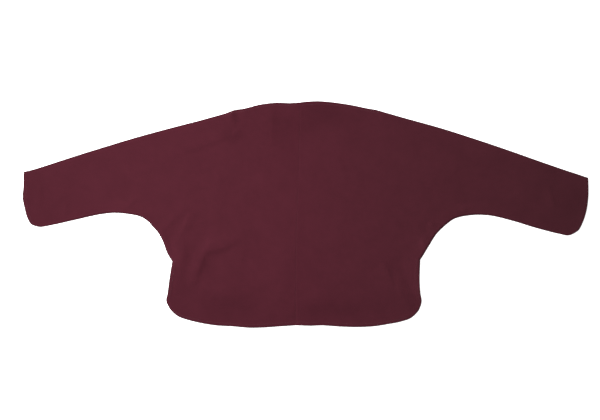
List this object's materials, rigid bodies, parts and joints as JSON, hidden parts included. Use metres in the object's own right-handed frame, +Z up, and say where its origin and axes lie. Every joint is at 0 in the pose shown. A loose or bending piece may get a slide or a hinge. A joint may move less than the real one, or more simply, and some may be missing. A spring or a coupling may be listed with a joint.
{
  "type": "dolman cardigan",
  "caption": "Short knitted dolman cardigan laid out flat, back upwards, with wide sleeves cut in one with the body and rounded side vents.",
  "frame": {"origin": "on the surface that the cardigan lies on, in the middle of its length and width", "axes": "+X along the spread sleeves, towards the right of the back as seen from above; +Y from the hem towards the neck; +Z up, out of the back"},
  "size_m": [1.4692, 0.5884, 0.0079],
  "materials": {
    "knit_back": "matt fine wine-red knit",
    "knit_front": "matt fine wine-red knit"
  },
  "bodies": {
    "root": {"back_left": "knit_back", "back_right": "knit_back", "front_left": "knit_front", "front_right": "knit_front"}
  },
  "joints": []
}
